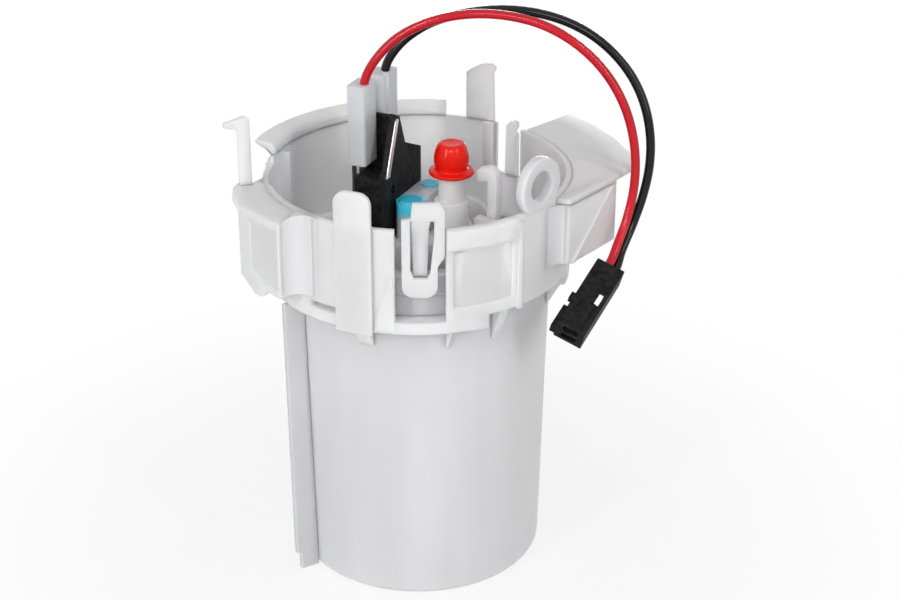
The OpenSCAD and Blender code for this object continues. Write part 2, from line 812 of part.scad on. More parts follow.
module front_latch() {
    color(natural)
        difference() {
            union() {
                // Loop
                translate([latch_x, latch_y0 + latch_t, 0])
                    rotate([90, 0, 0])
                        linear_extrude(latch_t)
                            difference() {
                                polygon(concat(
                                    arc([-latch_half + 3.4, latch_low + 3.4], 3.4, 180, 270, 5),
                                    arc([latch_neck - 3.4, latch_low + 3.4], 3.4, -90, 0, 5),
                                    [
                                        [latch_neck, latch_low + 9.6], [latch_side, latch_low + 12.6],
                                        [latch_side, latch_top - 2.1], [latch_side - 1.6, latch_top],
                                        [-2.2, latch_top], [-2.7, latch_leg_top + 0.6], [-latch_half, latch_leg_top]
                                    ]
                                ));
                                polygon([
                                    [-latch_slot + 1, latch_low + 5.6], [latch_slot - 1.2, latch_low + 5.6],
                                    [latch_slot - 0.2, latch_low + 7.2], [latch_slot + 1, latch_leg_top - 5],
                                    [latch_slot + 1, latch_leg_top], [-latch_slot, latch_leg_top],
                                    [-latch_slot, latch_low + 8]
                                ]);
                            }
                // Tongue: leaves the hood's front face and bends in behind the loop
                intersection() {
                    translate([latch_x - latch_side, 0, 0])
                        rotate([90, 0, 90])
                            linear_extrude(2 * latch_side)
                                polygon(concat(
                                    [[latch_y0, latch_top - 1.5]], tongue_line(0), [[tongue_y, arm_z0]],
                                    [[tongue_y + tongue_t, arm_z0]],
                                    [for (i = [8:-1:0]) tongue_line(tongue_t)[i]],
                                    [[latch_y0 + tongue_t, latch_top - 1.5]]
                                ));
                    translate([latch_x, 0, 0])
                        rotate([90, 0, 0])
                            linear_extrude(60)
                                polygon([
                                    [-arm_half, arm_z0], [arm_half - 0.3, arm_z0], [latch_slot - 0.5, latch_leg_top - 2],
                                    [latch_slot + 0.2, latch_leg_top + 1.2], [latch_slot + 0.2, latch_top - 1.4],
                                    [-latch_slot + 0.45, latch_top - 1.4], [-latch_slot + 0.45, latch_leg_top - 4]
                                ]);
                }
                // Arm to the carrier
                block(latch_x - arm_half, latch_x + arm_half - 0.3, tongue_y, pump_y, arm_z0, arm_z0 + arm_h);
                block(latch_x - arm_half, latch_x + arm_half, pump_y - sleeve_r - 2.5, pump_y,
                    sleeve_z1 - 8, arm_z0 + arm_h);
            }
            at_pump()
                disc(sleeve_r + seam, sleeve_z0, arm_z0 + 30);
        }
}

module carrier_hook() {
    color(natural)
        at_pump()
            difference() {
                translate([0, hook_stem_w / 2, 0])
                    rotate([90, 0, 0])
                        linear_extrude(hook_stem_w)
                            polygon(concat(
                                [[sleeve_r - 1, spoke_z0], [sleeve_r + hook_stem_t, spoke_z0]],
                                arc([sleeve_r + hook_stem_t - 3, hook_stem_top - 3], 3, 0, 90, 5),
                                [
                                    [sleeve_r - 2.4, hook_stem_top - 1.2], [sleeve_r - 2, hook_stem_top - 5],
                                    [sleeve_r + 1.1, hook_stem_top - 4.2], [sleeve_r + 1.1, sleeve_z1],
                                    [sleeve_r - 1, sleeve_z1]
                                ]
                            ));
                disc(sleeve_r + seam, spoke_z0 - 1, sleeve_z1 + seam);
            }
}

module rubber_sleeve() {
    color(rubber)
        at_pump()
            tube(shell_r + seam, sleeve_in_r - seam, sleeve_z0 + 1, sleeve_z1 - 11);
}

module pump_shell() {
    color(steel)
        at_pump()
            rotate_extrude()
                polygon([
                    [crimp_r, shell_z0], [shell_r - 0.5, shell_z0], [shell_r, shell_z0 + 0.5],
                    [shell_r, shell_z1 - 0.5], [shell_r - 0.5, shell_z1], [crimp_r, shell_z1],
                    [crimp_r, shell_z1 - crimp_t], [shell_in_r, shell_z1 - crimp_t],
                    [shell_in_r, shell_z0 + crimp_t], [crimp_r, shell_z0 + crimp_t]
                ]);
}

module pump_end_cover() {
    pocket_w = brush_w + 2 * slide_gap;
    pocket_d = brush_d + 2 * slide_gap;
    color(natural)
        at_pump()
            difference() {
                union() {
                    disc(stack_r, cover_z0, cover_shoulder);
                    disc(crimp_r - seam, cover_z0, cover_top);
                    translate([outlet_at, 0, 0]) {
                        disc(boss_r, cover_top - 1, boss_top);
                        disc(outlet_r, boss_top - 1, land_top);
                        disc(tip_r, land_top - 1, outlet_top);
                    }
                }
                disc(bearing_r + seam, cover_z0 - 1, cover_z0 + upper_bearing_h);
                for (side = [-1, 1])
                    translate([0, side * brush_at, 0])
                        block(-pocket_w / 2, pocket_w / 2, -pocket_d / 2, pocket_d / 2, cover_z0 - 1, pocket_top);
                translate([outlet_at, 0, 0]) {
                    disc(1.8, cover_z0 - 1, check_seat_z + 1);
                    disc(outlet_bore_r, check_seat_z, outlet_top + 1);
                }
                // Bleed way into the relief valve
                translate([0, relief_at, 0])
                    disc(0.8, pocket_top - 1, cover_top + 1);
                // Passage for the two terminals
                for (side = [0, 1])
                    translate([pole_a + 4.4, pole_b + side * pole_pitch, 0])
                        block(-1, 1, -1, 1, cover_z0 - 1, cover_top + 1);
            }
}

module valve_bridge() {
    color(pale_nylon)
        at_pump()
            difference() {
                union() {
                    block(-bridge_half, bridge_half, bleed_at, bridge_rear - 3, bridge_z0, bridge_top);
                    translate([0, bleed_at, 0])
                        disc(bleed_end_r, bridge_z0, bridge_top);
                    translate([0, bridge_rear - bridge_half, 0])
                        disc(bridge_half, bridge_z0, bridge_top);
                }
                translate([0, bleed_at, bridge_top - bleed_h])
                    cylinder(r1 = bleed_low_r + seam, r2 = bleed_top_r + seam, h = bleed_h + seam);
                translate([0, relief_at, 0]) {
                    disc(relief_bore_r, relief_floor, bridge_top + 1);
                    disc(0.9, bridge_z0 - 1, relief_floor + 1);
                }
                translate([outlet_at, 0, 0])
                    disc(boss_r + 1.6, bridge_z0 - 1, bridge_top + 1);
            }
}

module connector_housing() {
    color(black_nylon)
        at_pump()
            difference() {
                union() {
                    block(house_foot_left, house_right, house_foot_front, house_rear - 2, house_z0, house_step + 1);
                    // Front leg under the upper box
                    block(house_right - 4.5, house_right, house_front, house_foot_front + 1, house_z0 + 5, house_step + 1);
                    // Upper box with a chamfered front corner
                    translate([0, 0, house_step])
                        linear_extrude(deck_z - house_step)
                            polygon([
                                [house_left, house_front + 8], [house_left + 5, house_front],
                                [house_right, house_front], [house_right, house_rear], [house_left, house_rear]
                            ]);
                    // Wedge under the upper box
                    translate([0, house_rear - 2, 0])
                        rotate([90, 0, 0])
                            linear_extrude(house_rear - 2 - house_foot_front)
                                polygon([
                                    [house_foot_left, house_step - 5], [house_foot_left + 1, house_step - 5],
                                    [house_foot_left + 1, house_step + 1], [house_left + 1, house_step + 1]
                                ]);
                    // Side rib
                    translate([house_right - wall_plate, 0, 0])
                        rotate([90, 0, 90])
                            linear_extrude(wall_plate)
                                polygon(rib_outline);
                    // Wall between the two terminals
                    block(house_left + 1, house_right, -6.3, -4.9, deck_z - 1, deck_z + 16.9);
                }
                // Wells for the terminals
                for (side = [0, 1])
                    translate([pole_a, pole_b + side * pole_pitch, 0])
                        block(-blade_t / 2 - seam, blade_t / 2 + seam, -blade_w / 2 - seam, blade_w / 2 + seam,
                            house_step + 2, deck_z + 1);
                // Round latch hole through the side rib
                translate([house_right - 2.2, -9.5, deck_z - 5])
                    rotate([0, 90, 0])
                        cylinder(r = 1.4, h = 4);
            }
}

module terminal_blades() {
    color(tin)
        at_pump() {
            for (side = [0, 1])
                translate([pole_a, pole_b + side * pole_pitch, 0])
                    block(-blade_t / 2, blade_t / 2, -blade_w / 2, blade_w / 2, house_step + 2 + seam, deck_z + 12);
            // Spring contact that leans against the side rib
            translate([house_right + seam, 0, 0])
                rotate([90, 0, 90])
                    linear_extrude(0.4)
                        polygon([
                            [-14.4, deck_z], [-12.3, deck_z], [-6.1, deck_z + 16.1], [-7, deck_z + 16.7],
                            [-8, deck_z + 16.1]
                        ]);
        }
}

module relief_valve() {
    color(steel)
        at_pump()
            translate([0, relief_at, 0]) {
                disc(relief_bore_r - slide_gap, relief_floor + seam, relief_floor + relief_h);
            }
}

// A coil spring of round wire
module spring(r, wire_r, z0, z1, turns) {
    steps = 9;
    sides = 6;
    n = turns * steps;
    rings = [for (i = [0:n]) let (a = 360 * i / steps, z = z0 + wire_r + (z1 - z0 - 2 * wire_r) * i / n)
        [for (k = [0:sides - 1]) let (b = 360 * k / sides)
            [(r + wire_r * cos(b)) * cos(a), (r + wire_r * cos(b)) * sin(a), z + wire_r * sin(b)]]];
    skin(rings);
}

// A closed solid through rings of points
module skin(rings) {
    m = len(rings);
    k = len(rings[0]);
    pts = [for (ring = rings) for (p = ring) p];
    sides = [for (i = [0:m - 2]) for (j = [0:k - 1])
        [i * k + j, i * k + (j + 1) % k, (i + 1) * k + (j + 1) % k, (i + 1) * k + j]];
    ends = [[for (j = [k - 1:-1:0]) j], [for (j = [0:k - 1]) (m - 1) * k + j]];
    polyhedron(points = pts, faces = [for (f = concat(sides, ends)) [for (v = [len(f) - 1:-1:0]) f[v]]]);
}

module relief_spring() {
    color(steel)
        at_pump()
            translate([0, relief_at, 0])
                spring(1.7, 0.22, relief_floor + relief_h + seam, relief_plug_z - seam, 3);
}

module relief_plug() {
    color(cyan_tint)
        at_pump()
            translate([0, relief_at, 0])
                disc(relief_bore_r - seam, relief_plug_z, bridge_top + plug_proud);
}

module bleed_plug() {
    color(cyan_tint)
        at_pump()
            translate([0, bleed_at, bridge_top - bleed_h]) {
                cylinder(r1 = bleed_low_r, r2 = bleed_top_r, h = bleed_h);
                translate([0, 0, bleed_h])
                    cylinder(r1 = bleed_top_r, r2 = bleed_top_r - 0.3, h = plug_proud);
            }
}

module outlet_check_valve() {
    color(black_nylon)
        at_pump()
            translate([outlet_at, 0, 0]) {
                disc(check_r, check_seat_z + seam, check_seat_z + 1.4);
                disc(1.2, check_seat_z + seam, check_seat_z + check_h - 1);
            }
}

module outlet_check_spring() {
    color(steel)
        at_pump()
            translate([outlet_at, 0, 0])
                spring(1.9, 0.25, check_seat_z + 1.4 + seam, stop_z - seam, 4);
}

module outlet_spring_stop() {
    color(natural)
        at_pump()
            translate([outlet_at, 0, 0])
                tube(1.5, outlet_bore_r - seam, stop_z, stop_z + stop_h);
}

module field_magnets() {
    color([0.25, 0.25, 0.27])
        at_pump()
            for (side = [0, 180])
                sector(magnet_in_r, shell_in_r - seam, magnet_z0, magnet_z1,
                    side - magnet_half, side + magnet_half);
}

module armature_shaft() {
    color(steel)
        at_pump()
            disc(shaft_r, shaft_z0, shaft_z1);
}

module armature_core() {
    slot_r = 2.5;
    slot_at = core_r - 4.5;
    color([0.45, 0.46, 0.48])
        at_pump()
            difference() {
                disc(core_r, core_z0, core_z1);
                disc(shaft_r + seam, core_z0 - 1, core_z1 + 1);
                for (i = [1:core_slots])
                    rotate([0, 0, i * 360 / core_slots]) {
                        translate([slot_at, 0, 0])
                            disc(slot_r, core_z0 - 1, core_z1 + 1);
                        block(slot_at, core_r + 1, -0.7, 0.7, core_z0 - 1, core_z1 + 1);
                    }
            }
}

module armature_windings() {
    slot_r = 2.4;
    slot_at = core_r - 4.5;
    color(copper)
        at_pump() {
            for (i = [1:core_slots])
                rotate([0, 0, i * 360 / core_slots])
                    translate([slot_at, 0, 0])
                        disc(slot_r, core_z0 - 1, core_z1 + 1);
            for (z = [core_z0 - winding_h, core_z1 + seam])
                rotate_extrude()
                    polygon([
                        [3.5, z], [core_r - 3.4, z], [core_r - 1.5, z + 1.6],
                        [core_r - 1.5, z + winding_h - 1.6 - seam], [core_r - 3.4, z + winding_h - seam],
                        [3.5, z + winding_h - seam]
                    ]);
        }
}

module commutator() {
    slits = 8;
    color(copper)
        at_pump()
            difference() {
                union() {
                    disc(commutator_r, commutator_z0, commutator_top);
                    disc(4.2, core_z1 + winding_h + 2 * seam, commutator_z0 + 1);
                }
                disc(shaft_r + seam, core_z1, commutator_top + 1);
                for (i = [1:slits])
                    rotate([0, 0, i * 360 / slits])
                        block(3, commutator_r + 1, -0.25, 0.25, commutator_top - 0.6, commutator_top + 1);
            }
}

module brush(side) {
    color([0.2, 0.2, 0.21])
        at_pump()
            translate([0, side * brush_at, 0])
                block(-brush_w / 2, brush_w / 2, -brush_d / 2, brush_d / 2, brush_z0, brush_z0 + brush_h);
}

module brush_front() {
    brush(-1);
}

module brush_rear() {
    brush(1);
}

module brush_spring_front() {
    color(steel)
        at_pump()
            translate([0, -brush_at, 0])
                spring(1.45, 0.2, brush_z0 + brush_h + seam, pocket_top - seam, 5);
}

module brush_spring_rear() {
    color(steel)
        at_pump()
            translate([0, brush_at, 0])
                spring(1.45, 0.2, brush_z0 + brush_h + seam, pocket_top - seam, 5);
}

module upper_bearing() {
    color([0.7, 0.55, 0.3])
        at_pump()
            tube(shaft_r + running_gap, bearing_r, cover_z0, cover_z0 + upper_bearing_h - seam);
}

module lower_bearing() {
    color([0.7, 0.55, 0.3])
        at_pump()
            tube(shaft_r + running_gap, bearing_r, chamber_web_z + seam, chamber_web_z + lower_bearing_h);
}

module pump_chamber() {
    color(black_nylon)
        at_pump()
            difference() {
                disc(stack_r, chamber_z0, chamber_z0 + chamber_h);
                disc(impeller_r + 0.2, chamber_z0 - 1, chamber_web_z);
                disc(bearing_r + seam, chamber_z0, chamber_z0 + chamber_h + 1);
                translate([0, 12.6, 0])
                    disc(1.8, chamber_z0, chamber_z0 + chamber_h + 1);
            }
}

module impeller() {
    pocket_in = 12.6;
    pocket_depth = 1.5;
    color([0.35, 0.3, 0.25])
        at_pump()
            difference() {
                disc(impeller_r, impeller_z0, impeller_z0 + impeller_t);
                disc(shaft_r + seam, impeller_z0 - 1, impeller_z0 + impeller_t + 1);
                for (i = [1:vane_count])
                    rotate([0, 0, i * 360 / vane_count])
                        for (z = [impeller_z0 - 1, impeller_z0 + impeller_t - pocket_depth])
                            block(pocket_in, impeller_r + 1, -1.1, 1.1, z, z + pocket_depth + 1);
            }
}

module inlet_cover() {
    color(black_nylon)
        at_pump()
            difference() {
                union() {
                    disc(stack_r, inlet_z0, inlet_z0 + inlet_t);
                    disc(crimp_r - seam, shell_z0 - 1, inlet_z0 + 1);
                    translate([0, -8, 0])
                        disc(spigot_r, spigot_z0, inlet_z0 + 1);
                }
                translate([0, -8, 0])
                    disc(spigot_r - 1.4, spigot_z0 - 1, inlet_z0 + inlet_t + 1);
                disc(shaft_r + 0.4, shaft_z0 - 0.6, inlet_z0 + inlet_t + 1);
            }
}

module strainer_frame() {
    color(natural)
        at_pump()
            difference() {
                union() {
                    translate([0, -8, 0])
                        disc(spigot_r + 1.8, sock_z1 + seam, spigot_z0 + 4);
                    disc(sock_r, sock_z1 + seam, sock_z1 + 1.6);
                }
                translate([0, -8, 0]) {
                    disc(spigot_r + seam, spigot_z0 - seam, spigot_z0 + 5);
                    disc(spigot_r - 1.4, sock_z1 - 1, spigot_z0 + 1);
                }
            }
}

module strainer_sock() {
    color([0.8, 0.8, 0.76])
        at_pump()
            rotate_extrude()
                polygon(concat(
                    [[0, sock_z0]],
                    arc([sock_r - 3, sock_z0 + 3], 3, -90, 0, 5),
                    [[sock_r, sock_z1 - 1], [sock_r - 1, sock_z1], [0, sock_z1]]
                ));
}

module foot_valve() {
    color(rubber)
        translate([valve_x, valve_y, 0]) {
            disc(valve_disc_r, pot_floor + seam, pot_floor + valve_disc_t);
            disc(valve_stem_r, pot_floor + 0.5, pot_floor + valve_stem_h);
        }
}

module foot_valve_cage() {
    legs = 3;
    color(natural)
        translate([valve_x, valve_y, 0])
            difference() {
                union() {
                    disc(valve_stem_r + 2, cage_top, cage_top + cage_t);
                    for (i = [1:legs])
                        radial_plate(i * 360 / legs, 2, [
                            [valve_stem_r + 1, cage_top + 0.2], [cage_r - 1.6, cage_top + 0.2], [cage_r - 1.6, cage_z0],
                            [cage_r, cage_z0], [cage_r, cage_top + 1], [cage_r - 0.6, cage_top + cage_t - 0.1],
                            [valve_stem_r + 1, cage_top + cage_t - 0.1]
                        ]);
                }
                disc(valve_stem_r + slide_gap, cage_top - 1, cage_top + cage_t + 1);
            }
}

module outlet_cap() {
    top = cap_z0 + cap_h;
    inner = tip_r + 0.05;
    color(red)
        at_pump()
            translate([outlet_at, 0, 0])
                rotate_extrude()
                    polygon([
                        [inner, cap_z0], [cap_flange_r - 0.3, cap_z0], [cap_flange_r, cap_z0 + 0.4],
                        [cap_flange_r, cap_z0 + cap_flange_t - 0.3], [cap_r - 0.4, cap_z0 + cap_flange_t],
                        [cap_r, cap_z0 + 3], [cap_r, cap_z0 + 4.6], [cap_top_r + 0.3, top - 0.9],
                        [cap_top_r - 0.5, top], [0, top], [0, top - cap_wall], [inner, top - cap_wall]
                    ]);
}

module pump_plug() {
    wall = 1;
    color(pale_nylon)
        at_pump()
            difference() {
                union() {
                    for (side = [0, 1])
                        translate([pole_a, pole_b + side * pole_pitch, plug_z0])
                            linear_extrude(plug_h - side * 0.5)
                                polygon([
                                    [-pole_w / 2, -pole_d / 2 + 0.6], [-pole_w / 2 + 0.6, -pole_d / 2],
                                    [pole_w / 2 - 0.6, -pole_d / 2], [pole_w / 2, -pole_d / 2 + 0.6],
                                    [pole_w / 2, pole_d / 2], [-pole_w / 2, pole_d / 2]
                                ]);
                    // Web that ties the two poles
                    block(pole_a - pole_w / 2, pole_a + 0.5, pole_b + 1, pole_b + pole_pitch - 1,
                        plug_top - 9.5, plug_top - 3);
                    // Raised guard behind the rear pole
                    block(pole_a + pole_w / 2 - 1.2, pole_a + pole_w / 2 + 0.9,
                        pole_b + pole_pitch - 2, pole_b + pole_pitch + 4, plug_z0 + 8, plug_top + plug_guard);
                }
                for (side = [0, 1])
                    translate([pole_a, pole_b + side * pole_pitch, 0])
                        block(-pole_w / 2 + wall, pole_w / 2 - wall, -pole_d / 2 + wall, pole_d / 2 - wall,
                            plug_z0 - 1, plug_z0 + 14);
            }
}

module plug_contacts() {
    color(tin)
        at_pump()
            for (side = [0, 1])
                translate([pole_a, pole_b + side * pole_pitch, 0])
                    difference() {
                        block(-1.6, 1.6, -2.9, 2.9, plug_z0 + 4.5, plug_z0 + 14 - seam);
                        block(-blade_t / 2 - slide_gap, blade_t / 2 + slide_gap, -3.5, 3.5,
                            plug_z0 + 3, deck_z + 12.3);
                    }
}

// Vector helpers for the wires
function unit(v) = v / norm(v);
function mid(route, i) =
    let (n = len(route), a = route[max(i - 1, 0)], b = route[i], c = route[min(i + 1, n - 1)],
        d = route[min(i + 2, n - 1)])
    (-a + 9 * b + 9 * c - d) / 16;
function fine(route) = [for (i = [0:len(route) - 1]) each (i < len(route) - 1 ? [route[i], mid(route, i)] : [route[i]])];
function heading(path, i, first, last) =
    i == 0 ? first : i == len(path) - 1 ? last : unit(path[i + 1] - path[i - 1]);

// A wire of eight sides along a route, with the given headings at its two ends
module wire(route, first, last) {
    sides = 8;
    path = fine(route);
    across = [0.2, 0.95, 0.24];
    rings = [for (i = [0:len(path) - 1])
        let (t = heading(path, i, first, last), u = unit(cross(across, t)), v = cross(t, u))
        [for (k = [0:sides - 1]) path[i] + wire_d / 2 * (cos(360 * k / sides) * u + sin(360 * k / sides) * v)]];
    skin(rings);
}

// Heading of the wires where they enter the free connector, and a place on its cable end
socket_rx = socket_turn[0];
socket_ry = socket_turn[1];
socket_rz = socket_turn[2];
function turn_x(p) = [p[0], p[1] * cos(socket_rx) - p[2] * sin(socket_rx), p[1] * sin(socket_rx) + p[2] * cos(socket_rx)];
function turn_y(p) = [p[0] * cos(socket_ry) + p[2] * sin(socket_ry), p[1], -p[0] * sin(socket_ry) + p[2] * cos(socket_ry)];
function turn_z(p) = [p[0] * cos(socket_rz) - p[1] * sin(socket_rz), p[0] * sin(socket_rz) + p[1] * cos(socket_rz), p[2]];
function on_socket(p) = socket_at + turn_z(turn_y(turn_x(p)));
socket_axis = on_socket([0, 0, 1]) - socket_at;

module wire_red() {
    color(red)
        wire(concat(red_route, [on_socket([-wire_spread[0], -wire_spread[1], 4]),
            on_socket([-wire_spread[0], -wire_spread[1], seam])]), [0, 0, 1], -socket_axis);
}

module wire_black() {
    color(black_nylon)
        wire(concat(black_route, [on_socket([wire_spread[0], wire_spread[1], 4]),
            on_socket([wire_spread[0], wire_spread[1], seam])]), [0, 0, 1], -socket_axis);
}

module at_socket() {
    translate(socket_at)
        rotate(socket_turn)
            children();
}

module harness_connector() {
    w = socket_w / 2;
    t = socket_t / 2;
    color(black_nylon)
        at_socket()
            difference() {
                union() {
                    block(-w, w, -t, t, -socket_l, 0);
                    // Key rail and locking nub on the left edge
                    block(-w - 1.6, -w + 0.5, -0.4, 2.6, -socket_l, -socket_l + 8.6);
                    block(-w - 1.4, -w + 0.5, -1.4, 0.8, -socket_l + 11, -socket_l + 13.4);
                    // Two ribs on the wide face
                    block(-0.6, 2.4, -t - 0.5, -t + 0.5, -socket_l + 1, -socket_l + 11);
                }
                for (side = [-1, 1])
                    translate([0, side * cavity_pitch / 2, 0])
                        block(-cavity[0] / 2, cavity[0] / 2, -cavity[1] / 2, cavity[1] / 2,
                            -socket_l - 1, -socket_l + cavity_depth);
                // Locking window through the wide face
                block(1.5, 3.1, -t - 1, t + 1, -15.8, -12.2);
            }
}

module connector_pins() {
    color(tin)
        at_socket()
            for (side = [-1, 1])
                translate([0, side * cavity_pitch / 2, 0])
                    block(-1.4, 1.4, -0.4, 0.4, -socket_l + 1.5, -socket_l + cavity_depth - seam);
}

swirl_pot();
guide_fin();
upper_collar();
front_left_tab();
left_chamber();
left_hook_post();
right_chamber();
right_chamber_lid();
lifting_eye();
rear_tall_tab();
rear_slide_rail();
rear_snap_post();
rear_rim_tab();
rear_flared_lip();
pump_carrier();
front_latch();
carrier_hook();
rubber_sleeve();
pump_shell();
pump_end_cover();
valve_bridge();
connector_housing();
terminal_blades();
relief_valve();
relief_spring();
relief_plug();
bleed_plug();
outlet_check_valve();
outlet_check_spring();
outlet_spring_stop();
field_magnets();
armature_shaft();
armature_core();
armature_windings();
commutator();
brush_front();
brush_rear();
brush_spring_front();
brush_spring_rear();
upper_bearing();
lower_bearing();
pump_chamber();
impeller();
inlet_cover();
strainer_frame();
strainer_sock();
foot_valve();
foot_valve_cage();
outlet_cap();
pump_plug();
plug_contacts();
wire_red();
wire_black();
harness_connector();
connector_pins();
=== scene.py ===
"""Looks for the fuel pump module: soft moulded edges, translucent plastic, glossy wires, studio light."""
import json
import math

import bmesh
import bpy
from mathutils import Euler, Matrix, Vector
from mathutils.bvhtree import BVHTree


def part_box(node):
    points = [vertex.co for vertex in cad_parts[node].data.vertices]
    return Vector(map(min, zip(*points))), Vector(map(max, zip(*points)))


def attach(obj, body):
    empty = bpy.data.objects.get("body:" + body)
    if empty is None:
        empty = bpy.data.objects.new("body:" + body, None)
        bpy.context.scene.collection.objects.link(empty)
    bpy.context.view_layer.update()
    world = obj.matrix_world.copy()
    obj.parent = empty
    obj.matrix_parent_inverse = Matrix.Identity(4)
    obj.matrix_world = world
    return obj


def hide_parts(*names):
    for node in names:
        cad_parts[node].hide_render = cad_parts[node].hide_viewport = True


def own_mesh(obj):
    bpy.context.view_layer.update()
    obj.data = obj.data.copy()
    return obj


MM = 0.001
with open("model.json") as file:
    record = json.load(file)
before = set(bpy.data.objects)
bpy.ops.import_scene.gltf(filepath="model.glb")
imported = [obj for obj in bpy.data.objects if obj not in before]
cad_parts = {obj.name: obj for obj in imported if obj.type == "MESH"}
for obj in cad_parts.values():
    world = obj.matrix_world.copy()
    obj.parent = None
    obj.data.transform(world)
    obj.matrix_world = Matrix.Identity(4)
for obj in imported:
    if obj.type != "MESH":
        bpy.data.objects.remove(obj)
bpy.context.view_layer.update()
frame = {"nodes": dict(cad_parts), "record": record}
NODES = frame["nodes"]
scene = bpy.context.scene


# Camera at the photograph's angle

# Lens and sensor in millimetres, and the angle below level in degrees
LENS = 80
SENSOR = 36
LOOKS_DOWN = 26.28
CAMERA_AT = (9.74 * MM, -550.71 * MM, 354.75 * MM)


def make_camera():
    data = bpy.data.cameras.new("camera")
    data.lens = LENS
    data.sensor_width = SENSOR
    data.clip_start = 0.05
    data.clip_end = 50
    cam = bpy.data.objects.new("camera", data)
    cam.location = CAMERA_AT
    cam.rotation_euler = (math.radians(90 - LOOKS_DOWN), 0, 0)
    scene.collection.objects.link(cam)
    scene.camera = cam


make_camera()


# Nodes that the materials share

WHITE = (1, 1, 1)
POLYMER_IOR = 1.48
# Scales of the uneven gloss and of the fine grain, and the grain's height in metres
GLOSS_SCALE, GRAIN_SCALE, GRAIN_HEIGHT = 90.0, 900.0, 0.0004
# Sockets of the mix node that carry colours
COLOUR_A, COLOUR_B, COLOUR_OUT = 6, 7, 2


def new_material(name):
    m = bpy.data.materials.new(name)
    m.use_nodes = True
    nt = m.node_tree
    nt.nodes.clear()
    out = nt.nodes.new("ShaderNodeOutputMaterial")
    bsdf = nt.nodes.new("ShaderNodeBsdfPrincipled")
    nt.links.new(bsdf.outputs["BSDF"], out.inputs["Surface"])
    return m, nt, bsdf


def object_coords(nt):
    return nt.nodes.new("ShaderNodeTexCoord").outputs["Object"]


def stretched(nt, scale):
    m = nt.nodes.new("ShaderNodeMapping")
    m.inputs["Scale"].default_value = scale
    nt.links.new(object_coords(nt), m.inputs["Vector"])
    return m.outputs["Vector"]


def noise(nt, scale, detail=3.0, rough=0.5, coords=None):
    n = nt.nodes.new("ShaderNodeTexNoise")
    n.inputs["Scale"].default_value = scale
    n.inputs["Detail"].default_value = detail
    n.inputs["Roughness"].default_value = rough
    if coords is None:
        coords = object_coords(nt)
    nt.links.new(coords, n.inputs["Vector"])
    return n.outputs["Fac"]


def ramp(nt, fac, stops):
    """A run of colour between two stops, each a position and a colour."""
    r = nt.nodes.new("ShaderNodeValToRGB")
    for element, (position, colour) in zip(r.color_ramp.elements, stops):
        element.position, element.color = position, (*colour, 1)
    nt.links.new(fac, r.inputs["Fac"])
    return r.outputs["Color"]


def spread(nt, fac, low, high):
    """The noise's 0 to 1 taken to low to high."""
    r = nt.nodes.new("ShaderNodeMapRange")
    r.inputs["To Min"].default_value = low
    r.inputs["To Max"].default_value = high
    nt.links.new(fac, r.inputs["Value"])
    return r.outputs["Result"]


def fade(nt, value, start, end, low=0.0, high=1.0):
    """A smooth step from low to high as the value goes from start to end."""
    r = nt.nodes.new("ShaderNodeMapRange")
    r.interpolation_type = "SMOOTHSTEP"
    r.inputs["From Min"].default_value = start
    r.inputs["From Max"].default_value = end
    r.inputs["To Min"].default_value = low
    r.inputs["To Max"].default_value = high
    nt.links.new(value, r.inputs["Value"])
    return r.outputs["Result"]


def mixed(nt, share, under, over, blend="MIX"):
    """A colour with a plain one laid over it by a share."""
    mix = nt.nodes.new("ShaderNodeMix")
    mix.data_type = "RGBA"
    mix.blend_type = blend
    nt.links.new(share, mix.inputs["Factor"])
    nt.links.new(under, mix.inputs[COLOUR_A])
    mix.inputs[COLOUR_B].default_value = (*over, 1)
    return mix.outputs[COLOUR_OUT]


def bump(nt, bsdf, height, strength, distance):
    b = nt.nodes.new("ShaderNodeBump")
    b.inputs["Strength"].default_value = strength
    b.inputs["Distance"].default_value = distance
    nt.links.new(height, b.inputs["Height"])
    nt.links.new(b.outputs["Normal"], bsdf.inputs["Normal"])


def painted_shade_upwards(nt, colour, low, high, left):
    """The colour, which fades between two heights to a share of itself: painted shade, as under the crown's
    shelf.
    """
    parts = nt.nodes.new("ShaderNodeSeparateXYZ")
    nt.links.new(object_coords(nt), parts.inputs[0])
    return mixed(nt, fade(nt, parts.outputs["Z"], low, high), colour, (left, left, left), "MULTIPLY")


def moulded_finish(nt, bsdf, rough, grain):
    """Uneven gloss and a fine grain."""
    nt.links.new(spread(nt, noise(nt, GLOSS_SCALE), *rough), bsdf.inputs["Roughness"])
    bump(nt, bsdf, noise(nt, GRAIN_SCALE, 4.0, 0.6), grain, GRAIN_HEIGHT)


# Materials

def plastic(name, light, dark, rough=(0.38, 0.5), scatter=0.0, radius=WHITE, grain=0.06, patch=28.0,
            reach=0.004, specular=0.5, flow=1.0, clear=0.0, painted_shade=None):
    """Moulded plastic: slow clouding of the colour, drawn out upwards by flow, uneven gloss, fine grain, and
    any painted shade.
    """
    m, nt, bsdf = new_material(name)
    cloud = noise(nt, patch, 2.5, 0.55, stretched(nt, (1, 1, 1 / flow)))
    colour = ramp(nt, cloud, [(0.35, dark), (0.65, light)])
    # Painted shade: the colour darkens towards the top between two heights
    if painted_shade:
        colour = painted_shade_upwards(nt, colour, *painted_shade)
    nt.links.new(colour, bsdf.inputs["Base Color"])
    moulded_finish(nt, bsdf, rough, grain)
    bsdf.inputs["IOR"].default_value = POLYMER_IOR
    bsdf.inputs["Specular IOR Level"].default_value = specular
    bsdf.inputs["Transmission Weight"].default_value = clear
    if scatter:
        bsdf.inputs["Subsurface Weight"].default_value = scatter
        bsdf.inputs["Subsurface Radius"].default_value = radius
        bsdf.inputs["Subsurface Scale"].default_value = reach
    return m


